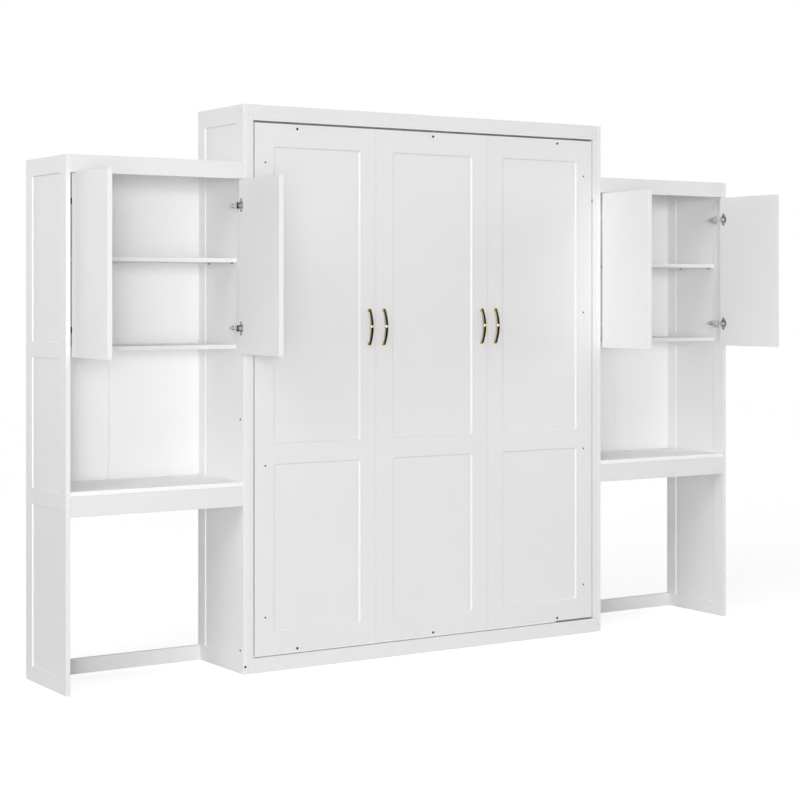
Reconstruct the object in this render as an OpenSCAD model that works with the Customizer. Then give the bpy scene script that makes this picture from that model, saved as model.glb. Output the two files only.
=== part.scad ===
// Wall bed in a cabinet with a shaker front, between two desk and cupboard units. Millimetres, +Z up.
// X = 0 is the bed cabinet's centre line, Y = 0 the wall and Z = 0 the floor; the front faces -Y.
// The bed is drawn shut and the four cupboard doors open. "Open" for the bed is a turn of 90
// degrees about +X, which lays its front face down over the floor.

/* [Bed cabinet] */
// Outer width of the bed cabinet
cab_w = 1735; // [1720:5:1800]
// Outer height of the bed cabinet
cab_h = 2170; // [2160:5:2260]
// Depth of the whole row, from its front face to the wall
cab_depth = 380; // [375:5:440]
// Thickness of the cabinet boards
board_t = 18; // [16:1:20]
// Width of the stile between each side panel and the bed front
stile_w = 26; // [24:1:34]
// Height of the fascia over the bed front
fascia_h = 60; // [50:1:80]
// Height of the plinth under the bed front
plinth_h = 58; // [45:1:60]
// Width of the frame round a recessed side panel
frame_w = 60; // [45:1:70]
// Height of the top member of the bed cabinet's side frames
side_top_h = 70; // [50:1:90]
// Depth of the recess in a framed side panel
recess_d = 5; // [3:0.5:6]
// Height of the rail that is screwed to the wall
wall_rail_h = 120; // [90:5:150]
// Distance between the outer wall screws
wall_screw_span = 1200; // [1000:50:1300]
// Distance between the inner wall screws
wall_stud_span = 400; // [300:50:600]
// Diameter of the wall screw holes
wall_hole_d = 7; // [5:0.5:9]
// Height of the rail along the floor at the back
lower_rail_h = 90; // [60:5:120]
// Height of the headboard panel
headboard_h = 620; // [500:10:700]
// Height of the headboard panel's lower edge
headboard_z = 330; // [300:10:380]

/* [Bed front] */
// Gap at each side of the bed front
side_gap = 6; // [5.5:0.5:8]
// Gap over the bed front
top_gap = 8; // [6:1:12]
// Gap under the bed front
bottom_gap = 8; // [7:1:12]
// Thickness of the front leaves
leaf_t = 18; // [16:1:20]
// Seam between two leaves
leaf_seam = 1.2; // [0.8:0.2:2]
// Width of the outermost stiles of the front
outer_stile_w = 82; // [70:1:95]
// Width of the outer leaves' stiles at the seams
inner_stile_w = 72; // [60:1:85]
// Width of the centre leaf's stiles
centre_stile_w = 78; // [60:1:85]
// Height of the leaves' top rails
leaf_top_h = 88; // [70:1:100]
// Height of the leaves' bottom rails
leaf_bottom_h = 84; // [70:1:100]
// Height of the leaves' middle rails
leaf_mid_h = 77; // [60:1:100]
// Height of the middle rail's lower edge over the floor
leaf_mid_z = 795; // [700:5:900]
// Height of the lowest side bolts over the front's lower edge
bolt_low = 143; // [120:1:170]
// Distance of the highest side bolts under the front's upper edge
bolt_high = 151; // [120:1:170]
// Distance of the outer bolts in the top and bottom rows from the middle
bolt_out = 632; // [600:1:660]
// Depth of the routed panels
rout_d = 6; // [4:0.5:8]
// Corner radius of the routed panels
rout_r = 11; // [8:1:16]
// Width of the sloped edge round a routed panel
rout_slope = 5; // [3:0.5:7]

/* [Bed frame] */
// Thickness of the bed's rails
rail_t = 18; // [16:1:22]
// Distance from the front's edge to the outer face of a bed rail
rail_inset = 36; // [34:1:38]
// Depth of the bed's rails behind the front
rail_depth = 150; // [140:5:160]
// Height of the slats' bearers behind the front
bearer_depth = 42; // [36:1:50]
// Width of the bearer along each side rail
bearer_w = 22; // [18:1:30]
// Width of the bearer along the middle
centre_bearer_w = 44; // [30:1:60]
// Thickness of the slats
slat_t = 18; // [15:1:22]
// Width of the slats
slat_w = 70; // [60:1:90]
// Number of slats
slat_count = 13; // [10:1:15]
// Height of the bed pivot over the front's lower edge
pivot_up = 204; // [180:2:230]
// Distance of the bed pivot behind the front face
pivot_back = 30; // [28:1:32]
// Diameter of the bed pivot pin
pivot_d = 12; // [10:1:14]
// Running clearance between a pin and its bore, all round
pin_play = 0.05; // [0.02:0.01:0.1]

/* [Legs and gas struts] */
// Height of a leg's pivot over the bed pivot, with the bed shut
leg_up = 1576; // [1400:2:1650]
// Distance of a leg's pivot behind the bed pivot, with the bed shut
leg_back = 40; // [35:1:60]
// Thickness of the flat steel legs
leg_t = 4; // [3:0.5:4.5]
// Width of the legs
leg_w = 40; // [30:1:50]
// Diameter of the leg pins
leg_pin_d = 10; // [8:1:12]
// Height of the plastic glide under a leg
glide_h = 12; // [8:1:20]
// Distance from the bed pivot to the strut's stud on the bed
stud_reach = 120; // [100:2:125]
// Angle of that stud under the horizontal, with the bed shut
stud_angle = 65; // [55:1:70]
// Height of the strut's upper pin over the bed pivot
anchor_up = 370; // [360:5:420]
// Distance of the strut's upper pin behind the bed pivot
anchor_back = 135; // [125:5:150]
// Diameter of the gas struts' tubes
tube_d = 18; // [16:1:19]
// Length of the gas struts' tubes
tube_l = 250; // [230:5:260]
// Diameter of the gas struts' rods
strut_rod_d = 8; // [6:1:10]

/* [Handles] */
// Distance between a handle's feet
handle_span = 133; // [96:1:160]
// Width of a handle's bar
handle_bar_w = 10; // [8:0.5:13]
// Thickness of a handle's bar
handle_bar_t = 5.6; // [4:0.2:7]
// Rise of a handle's bow over its feet
handle_rise = 13; // [10:1:20]
// Height of a handle's feet
handle_foot_h = 14; // [9:1:18]
// Height of the handles' middle over the floor
handle_z = 1317; // [1200:1:1400]
// Distance of a handle from the seam beside it
handle_off = 34; // [28:1:36]

/* [Side units] */
// Width of each side unit, past the bed cabinet
unit_w = 720; // [650:5:800]
// Height of the side units
unit_h = 1950; // [1900:5:2000]
// Height of the side units' top rails
unit_rail_h = 65; // [50:1:70]
// Height of the joint between the upper and the lower side panel
side_split_z = 664; // [640:2:690]
// Height of the middle members in a side unit's side frame
side_mid_h = 60; // [50:1:70]
// Height of the upper middle member's lower edge over the floor
side_mid_z = 1212; // [1190:2:1225]
// Thickness of the shelves
shelf_t = 16; // [15:1:19]
// Height of the cupboard floor's top face
cup_floor_z = 1254; // [1245:1:1270]
// Height of the middle shelf's top face
mid_shelf_z = 1584; // [1500:4:1640]
// Height of the desktop
desk_z = 733; // [725:1:760]
// Thickness of the desktop
desk_t = 16; // [15:1:19]
// Height of the apron under the desktop
apron_h = 76; // [60:1:100]
// Thickness of the back sheets
back_t = 5; // [3:1:6]
// Width of the back sheet beside the bed cabinet
back_sheet_w = 385; // [300:5:420]
// Gap between the two back sheets
back_seam = 1.5; // [1:0.5:3]
// Height of the rail along the floor
foot_rail_h = 58; // [50:1:70]

/* [Cupboard doors] */
// Gap round the doors
door_gap = 2; // [1.5:0.5:3]
// Gap over the doors
door_top_gap = 4; // [3:1:6]
// Height of the doors
door_h = 662; // [655:1:680]
// Thickness of the doors
door_t = 18; // [16:1:20]
// How far in front of the cabinet the doors turn
door_axis_out = 4; // [3:0.5:5]
// Diameter of the hinge cups
cup_d = 35; // [26:1:35]
// Distance from a door's hinge edge to the middle of its cups
cup_edge = 22.5; // [20:0.5:24]
// Distance from a door's ends to its hinges
hinge_end = 98; // [70:1:120]
// How far the far left door stands open
open_left_outer = 93; // [80:1:97]
// How far the left door beside the bed stands open
open_left_inner = 87; // [80:1:94]
// How far the right door beside the bed stands open
open_right_inner = 96; // [80:1:97]
// How far the far right door stands open
open_right_outer = 91; // [80:1:94]

/* [Hidden] */

PAINT = "#f2f2f0";
SHADE = "#e6e6e3";
STEEL = "#9aa0a6";
BLACK = "#2e2c2a";
BRONZE = "#8a6a2c";
TIMBER = "#d8bd8c";
RUN = 32;

front_y = -cab_depth;
cab_half = cab_w / 2;
cab_in = cab_half - board_t;
leaf_half = cab_in - stile_w - side_gap;
leaf_w = 2 * leaf_half / 3;
leaf_z0 = plinth_h + bottom_gap;
leaf_z1 = cab_h - fascia_h - top_gap;
leaf_back_y = front_y + leaf_t;
bed_rail_x = leaf_half - rail_inset;
bed_rail_in = bed_rail_x - rail_t;
bed_end = 3;
slat_y0 = leaf_back_y + bearer_depth;
pivot_y = front_y + pivot_back;
pivot_z = leaf_z0 + pivot_up;
unit_out = cab_half + unit_w;
unit_in = unit_out - board_t;

// Draws its children as they stand on the right, or mirrored on the left
module on_side(side) {
    if (side < 0) mirror([1, 0, 0]) children();
    else children();
}

// Box between two corners
module block(low, high) {
    translate(low) cube(high - low);
}

// Corner points of a rectangle with round corners, from (x0, y0) to (x1, y1)
function round_rect(x0, y0, x1, y1, r, steps = 6) = [
    for (k = [0:3])
        let (cx = (k == 0 || k == 3) ? x1 - r : x0 + r, cy = k < 2 ? y1 - r : y0 + r)
            for (a = [0:steps]) [
                cx + r * cos(90 * k + 90 * a / steps),
                cy + r * sin(90 * k + 90 * a / steps),
            ],
];

// Turns an XY outline into the XZ plane; its thickness then runs towards -Y from y
module facing_front(y) {
    translate([0, y, 0]) rotate([90, 0, 0]) children();
}

// Turns a YZ outline so that its thickness runs towards +X from x
module facing_side(x) {
    translate([x, 0, 0]) rotate([90, 0, 90]) children();
}

// Peg along +X with a running or a plain fit
module peg_x(x0, x1, y, z, d) {
    translate([x0, y, z]) rotate([0, 90, 0]) cylinder(h = x1 - x0, d = d, $fn = RUN);
}

// ---- Bed cabinet ----

// Side of the bed cabinet: a board with one tall recess on its outer face
module side_panel(side) {
    color(PAINT) on_side(side) difference() {
        block([cab_in, front_y, 0], [cab_half, 0, cab_h]);
        block([cab_half - recess_d, front_y + frame_w, frame_w],
              [cab_half + 1, -frame_w, cab_h - side_top_h]);
    }
}

module front_stiles() {
    color(PAINT) for (side = [-1, 1]) on_side(side)
        block([cab_in - stile_w, front_y, plinth_h], [cab_in, front_y + board_t, cab_h - fascia_h]);
}

module top_panel() {
    color(PAINT) block([-cab_in, front_y + board_t, cab_h - board_t], [cab_in, 0, cab_h]);
}

module fascia() {
    color(PAINT) block([-cab_in, front_y, cab_h - fascia_h], [cab_in, front_y + board_t, cab_h]);
}

module plinth() {
    color(PAINT) block([-cab_in, front_y, 0], [cab_in, front_y + board_t, plinth_h]);
}

wall_rail_z = cab_h - board_t - wall_rail_h / 2;

// Rail under the top that holds the cabinet to the wall
module wall_rail() {
    color(PAINT) difference() {
        block([-cab_in, -board_t, cab_h - board_t - wall_rail_h], [cab_in, 0, cab_h - board_t]);
        for (span = [wall_screw_span, wall_stud_span], side = [-1, 1])
            translate([side * span / 2, 1, wall_rail_z]) rotate([90, 0, 0])
                cylinder(h = board_t + 2, d = wall_hole_d, $fn = RUN);
    }
}

module headboard_panel() {
    color(PAINT) block([-cab_in, -board_t, headboard_z], [cab_in, 0, headboard_z + headboard_h]);
}

module lower_back_rail() {
    color(PAINT) block([-cab_in, -board_t, 0], [cab_in, 0, lower_rail_h]);
}

plate_t = 3;
plate_half = 60;
plate_behind = 50;
anchor_plate_half = 35;
plate_r = 10;
boss_d = 22;
bed_plate_t = 5;
pin_end_x = bed_rail_x + 0.5;
strut_gap = 2;
strut_x = cab_in - plate_t - strut_gap - tube_d / 2;
eye_t = 8;
eye_d = 20;
eye_play = 1.5;
strut_pin_d = 8;
anchor_y = pivot_y + anchor_back;
anchor_z = pivot_z + anchor_up;
bracket_front = pivot_back - leaf_t - 0.5;

// Steel plates inside the cabinet sides: the bed's pivot pins and the gas struts' upper pins
module cabinet_brackets() {
    color(STEEL) for (side = [-1, 1]) on_side(side) {
        facing_side(cab_in - plate_t) linear_extrude(plate_t)
            polygon(round_rect(pivot_y - bracket_front, pivot_z - plate_half,
                               pivot_y + plate_behind, pivot_z + plate_half, plate_r));
        peg_x(cab_in - plate_t - 4, cab_in - plate_t, pivot_y, pivot_z, boss_d);
        peg_x(pin_end_x, cab_in - plate_t - 4, pivot_y, pivot_z, pivot_d);
        facing_side(cab_in - plate_t) linear_extrude(plate_t)
            polygon(round_rect(anchor_y - anchor_plate_half * 0.7, anchor_z - anchor_plate_half,
                               anchor_y + anchor_plate_half * 0.7, anchor_z + anchor_plate_half,
                               plate_r));
        peg_x(strut_x - eye_t / 2 - 2, cab_in - plate_t, anchor_y, anchor_z, strut_pin_d);
    }
}

// Nylon spacers that run on the bed's pivot pins
module pivot_bushes() {
    color(BLACK) for (side = [-1, 1]) on_side(side) difference() {
        peg_x(bed_rail_x + bed_plate_t + 0.5, cab_in - plate_t - 4.5, pivot_y, pivot_z, boss_d);
        peg_x(bed_rail_x, cab_in, pivot_y, pivot_z, pivot_d + 2 * pin_play);
    }
}

cap_d = 9;
cap_h = 1;
// Play between a cap and the boards of the side unit beside it
cap_play = 1.5;
// The screws in a side panel sit behind the unit's head rail, and the upper one under the unit's top
cap_in = board_t + cap_d / 2 + cap_play;
top_cap_z = cab_h - board_t - cap_d - cap_play;
// Heights of the other screws along a side panel
side_bolt_z = [89, 969];

// Cap or bolt head on the cabinet's front
module front_cap(x, z) {
    translate([x, front_y, z]) rotate([90, 0, 0]) cylinder(h = cap_h, d = cap_d, $fn = RUN);
}

// Small white caps over the screws near the cabinet's upper corners and at its lower right one
module joint_caps() {
    color(SHADE) {
        for (side = [-1, 1]) {
            on_side(side) peg_x(cab_half, cab_half + cap_h, front_y + cap_in, top_cap_z, cap_d);
            for (in = [8, 26]) front_cap(side * (cab_in - in), cab_h - fascia_h / 2 - 9);
        }
        front_cap(cab_half - board_t / 2, plinth_h / 2);
    }
}

// Dark bolt heads where no cap is fitted: on the sides, and at the lower left corner
module joint_bolts() {
    color(BLACK) {
        for (side = [-1, 1], z = side_bolt_z) on_side(side)
            peg_x(cab_half, cab_half + cap_h, front_y + cap_in, z, cap_d);
        front_cap(board_t / 2 - cab_half, plinth_h / 2);
    }
}

// ---- Side units ----

// Both faces of a unit's outer side are recessed between these heights
module side_recess(z0, z1) {
    for (x = [unit_in - 1, unit_out - recess_d])
        block([x, front_y + frame_w, z0], [x + recess_d + 1, -frame_w, z1]);
}

module unit_side_lower(side) {
    color(PAINT) on_side(side) difference() {
        block([unit_in, front_y, 0], [unit_out, 0, side_split_z]);
        side_recess(foot_rail_h, side_split_z + 1);
    }
}

module unit_side_upper(side) {
    color(PAINT) on_side(side) difference() {
        block([unit_in, front_y, side_split_z], [unit_out, 0, unit_h]);
        side_recess(side_split_z + side_mid_h, side_mid_z);
        side_recess(side_mid_z + side_mid_h, unit_h - unit_rail_h);
    }
}

module unit_tops() {
    color(PAINT) for (side = [-1, 1]) on_side(side)
        block([cab_half, front_y + board_t, unit_h - board_t], [unit_in, 0, unit_h]);
}

module unit_head_rails() {
    color(PAINT) for (side = [-1, 1]) on_side(side)
        block([cab_half, front_y, unit_h - unit_rail_h], [unit_in, front_y + board_t, unit_h]);
}

// A board of a unit, with tongues into the recesses beside it; the outer one reaches down to low
module unit_board(y0, z1, t, low) {
    block([cab_half, y0, z1 - t], [unit_in, -back_t, z1]);
    block([cab_half - recess_d, front_y + frame_w, z1 - t], [cab_half, -frame_w, z1]);
    if (low < z1)
        block([unit_in, front_y + frame_w, max(low, z1 - t)], [unit_in + recess_d, -frame_w, z1]);
}

module cupboard_shelves() {
    color(PAINT) for (side = [-1, 1]) on_side(side)
        unit_board(front_y + frame_w, mid_shelf_z, shelf_t, 0);
}

module cupboard_floors() {
    color(PAINT) for (side = [-1, 1]) on_side(side)
        unit_board(front_y + frame_w, cup_floor_z, shelf_t, cup_floor_z);
}

module desktop(side) {
    color(PAINT) on_side(side) unit_board(front_y, desk_z, desk_t, side_split_z + side_mid_h);
}

module desk_aprons() {
    color(PAINT) for (side = [-1, 1]) on_side(side)
        block([cab_half, front_y + 2, desk_z - desk_t - apron_h],
              [unit_in, front_y + 2 + board_t, desk_z - desk_t]);
}

// Two thin sheets from the desk to the top, with an open seam
module back_sheets() {
    color(SHADE) for (side = [-1, 1]) on_side(side) {
        block([cab_half, -back_t, desk_z - desk_t - apron_h],
              [cab_half + back_sheet_w, 0, unit_h - board_t]);
        block([cab_half + back_sheet_w + back_seam, -back_t, desk_z - desk_t - apron_h],
              [unit_in, 0, unit_h - board_t]);
    }
}

module foot_rails() {
    color(PAINT) for (side = [-1, 1]) on_side(side)
        block([cab_half, -board_t, 0], [unit_in, 0, foot_rail_h]);
}

shelf_pin_d = 5;
shelf_pin_l = 9;

// Pins under the middle shelves, in both walls of each unit
module shelf_pins() {
    color(STEEL) for (side = [-1, 1]) on_side(side)
        for (y = [front_y + frame_w + 35, -frame_w - 35]) {
            peg_x(cab_half - recess_d, cab_half - recess_d + shelf_pin_l, y,
                  mid_shelf_z - shelf_t - shelf_pin_d / 2, shelf_pin_d);
            peg_x(unit_in + recess_d - shelf_pin_l, unit_in + recess_d, y,
                  mid_shelf_z - shelf_t - shelf_pin_d / 2, shelf_pin_d);
        }
}

// ---- Cupboard doors and their hinges ----
// A door is drawn shut with its hinge edge towards x = 0, its front on y = 0 and +y into the cupboard

door_w = (unit_in - cab_half - 3 * door_gap) / 2;
door_z1 = unit_h - unit_rail_h - door_top_gap;
door_z0 = door_z1 - door_h;
hinge_zs = [door_z0 + hinge_end, door_z1 - hinge_end];
cup_x = door_gap + cup_edge;
cup_depth = 11.5;
cup_fit = 0.1;
flange_t = 1.2;
flange_l = 52;
flange_w = 16;

// Puts a hinge's parts on its wall; hand is +1 where the door hangs on its left edge
module on_hinge(wall_x, hand) {
    translate([wall_x, front_y, 0]) {
        if (hand < 0) mirror([1, 0, 0]) children();
        else children();
    }
}

// Swings a door that was drawn shut
module swing(angle) {
    translate([0, -door_axis_out, 0]) rotate([0, 0, -angle]) translate([0, door_axis_out, 0])
        children();
}

module door(d) {
    color(PAINT) on_hinge(d[0], d[1]) swing(d[2]) difference() {
        block([door_gap, 0, door_z0], [door_gap + door_w, door_t, door_z1]);
        for (z = hinge_zs)
            translate([cup_x, door_t - cup_depth, z]) rotate([-90, 0, 0])
                cylinder(h = cup_depth + 1, d = cup_d + 2 * cup_fit, $fn = 48);
    }
}

// Pressed cup with a flange that lies on the door's inner face
module hinge_cup() {
    rotate([-90, 0, 0]) difference() {
        union() {
            translate([0, 0, -cup_depth + 0.5]) cylinder(h = cup_depth - 0.5, d = cup_d, $fn = 48);
            linear_extrude(flange_t) union() {
                circle(d = cup_d + 4, $fn = 48);
                square([flange_w, flange_l], center = true);
            }
        }
        translate([0, 0, -cup_depth + 1.7]) cylinder(h = cup_depth + 1, d = cup_d - 4, $fn = 48);
    }
}

module hinge_cups(d) {
    color(STEEL) on_hinge(d[0], d[1]) swing(d[2]) for (z = hinge_zs)
        translate([cup_x, door_t, z]) hinge_cup();
}

// Pin of a hinge's link, from the wall and from the front face
link_x = 12;
link_y = 27;
link_pin_d = 4;
link_half = 5;
arm_end = 77;

// Wall plate of a hinge, its arm and the fork that holds the link's pin
module hinge_arm() {
    block([0, link_y, -17], [3, frame_w - 2, 17]);
    block([3, link_y + 8, -8], [link_x + 4, arm_end, 8]);
    for (end = [-1, 1]) {
        cheek = end > 0 ? [link_half + 0.5, 8] : [-8, -link_half - 0.5];
        block([link_x - 4, link_y, cheek[0]], [link_x + 4, link_y + 8, cheek[1]]);
        translate([link_x, link_y, cheek[0]]) cylinder(h = cheek[1] - cheek[0], r = 4, $fn = RUN);
    }
    translate([link_x, link_y, -7]) cylinder(h = 14, d = link_pin_d, $fn = RUN);
}

// Wall, hand and opening of each door, from left to right
DOORS = [
    [-unit_in, 1, open_left_outer],
    [-cab_half, -1, open_left_inner],
    [cab_half, 1, open_right_inner],
    [unit_in, -1, open_right_outer],
];

module hinge_arms() {
    color(STEEL) for (d = DOORS, z = hinge_zs) on_hinge(d[0], d[1]) translate([0, 0, z]) hinge_arm();
}

// Where a point of the shut door goes when the door has swung
function swung(angle, x, y) = [
    x * cos(angle) + (y + door_axis_out) * sin(angle),
    (y + door_axis_out) * cos(angle) - x * sin(angle) - door_axis_out,
];

link_y0 = door_t + flange_t + 0.3;
link_y1 = link_y0 + 3.8;

// Outline of a link at rest: from its pin it reaches past the door's edge and down into the cup
function link_path(a) = [
    [link_x + 2, link_y + 2.6],
    swung(a, -12.5, link_y1),
    swung(a, cup_x - 7, link_y1),
    swung(a, cup_x + 3, door_t),
    swung(a, cup_x + 3, door_t - 5),
    swung(a, cup_x - 1, door_t - 5),
    swung(a, cup_x - 8.5, link_y0),
    swung(a, -11.5, link_y0),
    [link_x - 2, link_y - 2.6],
];

module hinge_links(d) {
    color(STEEL) on_hinge(d[0], d[1]) for (z = hinge_zs) translate([0, 0, z - link_half])
        difference() {
            union() {
                linear_extrude(2 * link_half) polygon(link_path(d[2]));
                translate([link_x, link_y, 0]) cylinder(h = 2 * link_half, r = 3.8, $fn = RUN);
            }
            translate([link_x, link_y, -1])
                cylinder(h = 2 * link_half + 2, d = link_pin_d + 2 * pin_play, $fn = RUN);
        }
}

// ---- Bed ----

// Cut for a routed panel: round corners and a sloped edge, sunk from the front face
module routed_panel(x0, z0, x1, z1) {
    facing_front(front_y) hull() {
        linear_extrude(1) polygon(round_rect(x0, z0, x1, z1, rout_r));
        translate([0, 0, -rout_d]) linear_extrude(1)
            polygon(round_rect(x0 + rout_slope, z0 + rout_slope, x1 - rout_slope, z1 - rout_slope,
                               rout_r - rout_slope));
    }
}

bolt_d = 6;
bolt_head_d = 9;
bolt_head_h = 2;
bolt_fit = 0.1;
bolt_from_end = 14;
bolt_side_x = bed_rail_x - rail_t / 2;
bolt_foot_z = leaf_z1 - bed_end - bolt_from_end;
bolt_head_z = leaf_z0 + bed_end + rail_t / 2;
bolt_rows = [for (x = [-bolt_out, 0, bolt_out], z = [bolt_head_z, bolt_foot_z]) [x, z]];
bolt_z0 = leaf_z0 + bolt_low;
bolt_z1 = leaf_z1 - bolt_high;
bolt_zs = [for (k = [0:3]) bolt_z0 + (bolt_z1 - bolt_z0) * k / 3];
bolt_columns = [for (x = [-bolt_side_x, bolt_side_x], z = bolt_zs) [x, z]];
bolts = concat(bolt_rows, bolt_columns);

// Holes for the front's bolts, from the front face back through a rail
module bolt_holes(depth) {
    for (b = bolts)
        translate([b[0], front_y - 1, b[1]]) rotate([-90, 0, 0])
            cylinder(h = depth + 1, d = bolt_d + 2 * bolt_fit, $fn = 24);
}

// One leaf of the bed front; place is -1, 0 or 1 from left to right
module leaf(place) {
    x0 = (place - 0.5) * leaf_w + (place > -1 ? leaf_seam / 2 : 0);
    x1 = (place + 0.5) * leaf_w - (place < 1 ? leaf_seam / 2 : 0);
    left_stile = place < 0 ? outer_stile_w : place == 0 ? centre_stile_w : inner_stile_w;
    right_stile = place > 0 ? outer_stile_w : place == 0 ? centre_stile_w : inner_stile_w;
    color(PAINT) difference() {
        block([x0, front_y, leaf_z0], [x1, leaf_back_y, leaf_z1]);
        routed_panel(x0 + left_stile, leaf_z0 + leaf_bottom_h, x1 - right_stile, leaf_mid_z);
        routed_panel(x0 + left_stile, leaf_mid_z + leaf_mid_h, x1 - right_stile, leaf_z1 - leaf_top_h);
        bolt_holes(leaf_t + 1);
    }
}

bolt_l = leaf_t + 30;

module bed_rail(side) {
    color(TIMBER) difference() {
        on_side(side) block([bed_rail_in, leaf_back_y, leaf_z0 + bed_end],
                            [bed_rail_x, leaf_back_y + rail_depth, leaf_z1 - bed_end]);
        bolt_holes(bolt_l + 1);
    }
}

foot_rail_t = 24;

module bed_foot_rail() {
    color(TIMBER) difference() {
        block([-bed_rail_in, leaf_back_y, bolt_foot_z - foot_rail_t / 2],
              [bed_rail_in, leaf_back_y + rail_depth, bolt_foot_z + foot_rail_t / 2]);
        bolt_holes(bolt_l + 1);
    }
}

module bed_head_rail() {
    color(TIMBER) difference() {
        block([-bed_rail_in, leaf_back_y, leaf_z0 + bed_end],
              [bed_rail_in, slat_y0 + slat_t, leaf_z0 + bed_end + rail_t]);
        bolt_holes(bolt_l + 1);
    }
}

slat_z0 = leaf_z0 + bed_end + rail_t;
slat_z1 = bolt_foot_z - foot_rail_t / 2;
slat_pitch = (slat_z1 - slat_z0) / slat_count;

// Battens behind the leaves that carry the slats
module slat_bearers() {
    color(TIMBER) {
        for (side = [-1, 1]) on_side(side)
            block([bed_rail_in - bearer_w, leaf_back_y, slat_z0], [bed_rail_in, slat_y0, slat_z1]);
        block([-centre_bearer_w / 2, leaf_back_y, slat_z0], [centre_bearer_w / 2, slat_y0, slat_z1]);
    }
}

module slats() {
    color(TIMBER) for (k = [0:slat_count - 1])
        translate([0, 0, slat_z0 + (k + 0.5) * slat_pitch])
            block([-bed_rail_in + 1, slat_y0, -slat_w / 2],
                  [bed_rail_in - 1, slat_y0 + slat_t, slat_w / 2]);
}

bow_r = (pow(handle_span / 2, 2) + pow(handle_rise, 2)) / (2 * handle_rise);
bow_a = asin(handle_span / 2 / bow_r);
handle_xs = [for (seam = [-leaf_w / 2, leaf_w / 2], off = [-handle_off, handle_off]) seam + off];
handle_foot_d = handle_bar_w + 4;
handle_collar = 1.3;

// Piece of a handle's bow, so many degrees to both sides of its middle and swollen by more
module bow(half, more) {
    rotate([0, 90, 0]) rotate([0, 0, -90 - half]) rotate_extrude(angle = 2 * half, $fn = 96)
        polygon(round_rect(bow_r - handle_bar_t / 2 - more, -handle_bar_w / 2 - more,
                           bow_r + handle_bar_t / 2 + more, handle_bar_w / 2 + more,
                           handle_bar_t * 0.4, 3));
}

// Bow handle: a flat bar bent to an arc over two round posts on wider feet, with a collar at its middle
module handle(x) {
    translate([x, front_y, handle_z]) {
        for (end = [-1, 1]) translate([0, 0, end * handle_span / 2]) rotate([90, 0, 0]) {
            cylinder(h = 2, d = handle_foot_d, $fn = RUN);
            cylinder(h = handle_foot_h - 0.5, d = handle_bar_w + 1, $fn = RUN);
        }
        translate([0, bow_r - handle_foot_h - handle_rise, 0]) {
            bow(bow_a + 1.9, 0);
            bow(1.3, handle_collar);
        }
    }
}

module handles() {
    color(BRONZE) for (x = handle_xs) handle(x);
}

module front_bolts() {
    color(BLACK) for (b = bolts)
        translate([b[0], front_y, b[1]]) {
            rotate([-90, 0, 0]) cylinder(h = bolt_l, d = bolt_d, $fn = 24);
            rotate([90, 0, 0]) cylinder(h = bolt_head_h, d = bolt_head_d, $fn = 24);
        }
}

// Steel plates on the bed rails that turn on the cabinet's pivot pins, and the studs beside them
module rail_fittings() {
    pivot_plates();
    rail_studs();
}

module pivot_plates() {
    color(STEEL) for (side = [-1, 1]) on_side(side) difference() {
        facing_side(bed_rail_x) linear_extrude(bed_plate_t)
            polygon(round_rect(leaf_back_y, pivot_z - plate_half, pivot_y + plate_behind + plate_r,
                               pivot_z + plate_half, plate_r));
        peg_x(bed_rail_x - 1, bed_rail_x + bed_plate_t + 1, pivot_y, pivot_z, pivot_d + 2 * pin_play);
    }
}

stud_y = pivot_y + stud_reach * cos(stud_angle);
stud_z = pivot_z - stud_reach * sin(stud_angle);
leg_y = pivot_y + leg_back;
leg_z = pivot_z + leg_up;
leg_x0 = leaf_half + (side_gap - leg_t) / 2;

// Studs on the bed rails: one for a gas strut and one for a leg on each side
module rail_studs() {
    color(STEEL) for (side = [-1, 1]) on_side(side) {
        peg_x(bed_rail_x, bed_rail_x + 4, stud_y, stud_z, 26);
        peg_x(bed_rail_x + 4, strut_x - eye_t / 2 - eye_play, stud_y, stud_z, 10);
        peg_x(bed_rail_x, leg_x0 - 0.5, leg_y, leg_z, 2 * leg_pin_d);
        peg_x(leg_x0 - 0.5, leg_x0 + leg_t, leg_y, leg_z, leg_pin_d);
    }
}

leg_l = pivot_z + leg_back;

// Flat leg that hangs from its pin
module leg(side) {
    color(STEEL) on_side(side) difference() {
        union() {
            block([leg_x0, leg_y - leg_w / 2, leg_z - leg_l + glide_h],
                  [leg_x0 + leg_t, leg_y + leg_w / 2, leg_z]);
            peg_x(leg_x0, leg_x0 + leg_t, leg_y, leg_z, leg_w);
        }
        peg_x(leg_x0 - 1, leg_x0 + leg_t + 1, leg_y, leg_z, leg_pin_d + 2 * pin_play);
    }
}

// Foot of a leg, which meets the floor when the bed is down
module leg_glide(side) {
    color(BLACK) on_side(side) block([leg_x0, leg_y - leg_w / 2, leg_z - leg_l],
                                     [leg_x0 + leg_t, leg_y + leg_w / 2, leg_z - leg_l + glide_h]);
}

strut_dy = stud_y - anchor_y;
strut_dz = stud_z - anchor_z;
strut_l = norm([strut_dy, strut_dz]);
strut_tilt = atan2(strut_dy, -strut_dz);
tube_start = 18;
tube_bore = tube_d - 3;
rod_guide = 20;
rod_l = strut_l - tube_start - tube_l + rod_guide + 12;

// Draws a strut's parts, which hang down from z = 0 at its upper pin
module on_strut(side) {
    translate([side * strut_x, anchor_y, anchor_z]) rotate([strut_tilt, 0, 0]) children();
}

// Eye of a strut: a disc across the pin
module strut_eye(z, bore) {
    difference() {
        translate([0, 0, z]) rotate([0, 90, 0]) cylinder(h = eye_t, d = eye_d, center = true, $fn = RUN);
        if (bore > 0)
            translate([0, 0, z]) rotate([0, 90, 0])
                cylinder(h = 2 * eye_t, d = bore, center = true, $fn = RUN);
    }
}

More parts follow.
